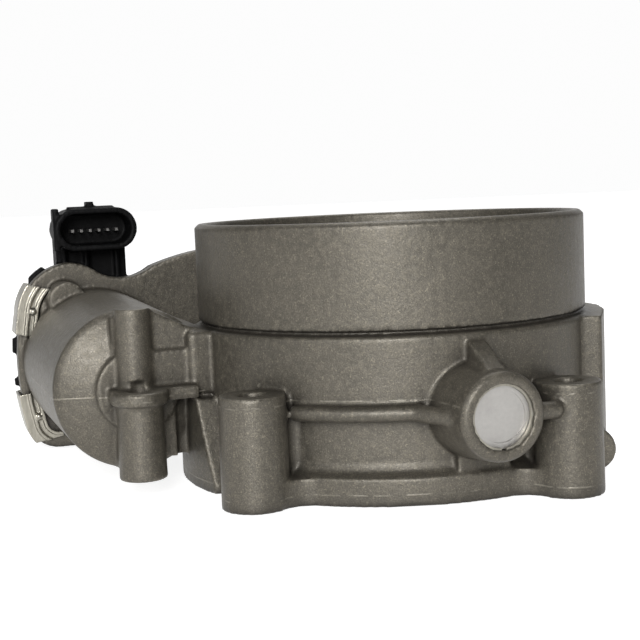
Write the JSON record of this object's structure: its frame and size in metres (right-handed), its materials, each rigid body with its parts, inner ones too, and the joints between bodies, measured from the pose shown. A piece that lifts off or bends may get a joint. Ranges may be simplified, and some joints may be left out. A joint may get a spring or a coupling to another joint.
{
  "type": "throttle body",
  "caption": "Electronic throttle body with a smooth round inlet collar, bolted flange, side motor housing and clipped gear cover with a socket.",
  "frame": {"origin": "bore axis at the mounting flange's face", "axes": "+Z along the bore towards the inlet collar, X along the short side and Y along the long side of the bolt rectangle, +Y towards the gear case"},
  "size_m": [0.1673, 0.1529, 0.0725],
  "materials": {
    "cast_aluminium": "sand-textured die cast",
    "zinc_steel": "zinc plated",
    "spring_steel": "bright stamped",
    "bearing_steel": "ground",
    "seal_rubber": "matte",
    "turned_steel": "turned",
    "plate_aluminium": "machined",
    "gear_plastic": "moulded",
    "magnet": "sintered",
    "copper": "bright",
    "black_plastic": "fine moulded grain",
    "terminal_tin": "tin plated, dulled",
    "board_green": "printed board"
  },
  "bodies": {
    "housing": {"throttle_housing": "cast_aluminium", "shaft_end_plug": "zinc_steel", "plug_retaining_ring": "spring_steel", "front_bearing_shell": "bearing_steel", "front_bearing_rollers": "bearing_steel", "front_shaft_seal": "seal_rubber", "rear_shaft_seal": "seal_rubber", "rear_bearing_outer_race": "bearing_steel", "rear_bearing_balls": "bearing_steel", "return_spring": "spring_steel", "spring_bush": "gear_plastic", "idler_pin": "turned_steel", "motor_can": "zinc_steel", "motor_end_cap": "zinc_steel", "motor_screws": "turned_steel", "motor_magnets": "magnet", "motor_brushes": "magnet", "motor_bushes": "copper", "motor_terminals": "copper", "cover_gasket": "seal_rubber", "gear_cover": "black_plastic", "connector_terminals": "terminal_tin", "sensor_board": "board_green", "cover_clips": "spring_steel"},
    "throttle": {"throttle_shaft": "turned_steel", "throttle_plate": "plate_aluminium", "plate_screws": "turned_steel", "sector_gear": "gear_plastic", "sector_insert": "turned_steel", "position_magnet": "magnet", "rear_bearing_inner_race": "bearing_steel"},
    "idler": {"idler_gear": "gear_plastic"},
    "rotor": {"motor_shaft": "turned_steel", "motor_armature": "turned_steel", "motor_windings": "copper", "motor_commutator": "copper", "motor_pinion": "copper"}
  },
  "joints": [
    {"name": "throttle_turn", "type": "hinge", "parent": "housing", "child": "throttle", "pos_m": [0, 0, 0.0214], "axis": [-0.289, 0.9573, 0], "range_deg": [0, 83], "stiffness_Nm_per_rad": 0.02, "springref_deg": -20.05},
    {"name": "idler_turn", "type": "hinge", "parent": "housing", "child": "idler", "pos_m": [-0.03835, -0.01158, 0.02736], "axis": [-0.289, 0.9573, 0], "range_deg": [-70, 5]},
    {"name": "motor_turn", "type": "hinge", "parent": "housing", "child": "rotor", "pos_m": [-0.06701, -0.02023, 0.0255], "axis": [-0.289, 0.9573, 0], "range_deg": [-5, 212]}
  ],
  "couplings": [
    {"joint": "idler_turn", "follows": "throttle_turn", "ratio": -0.76087},
    {"joint": "motor_turn", "follows": "throttle_turn", "ratio": 2.5}
  ]
}
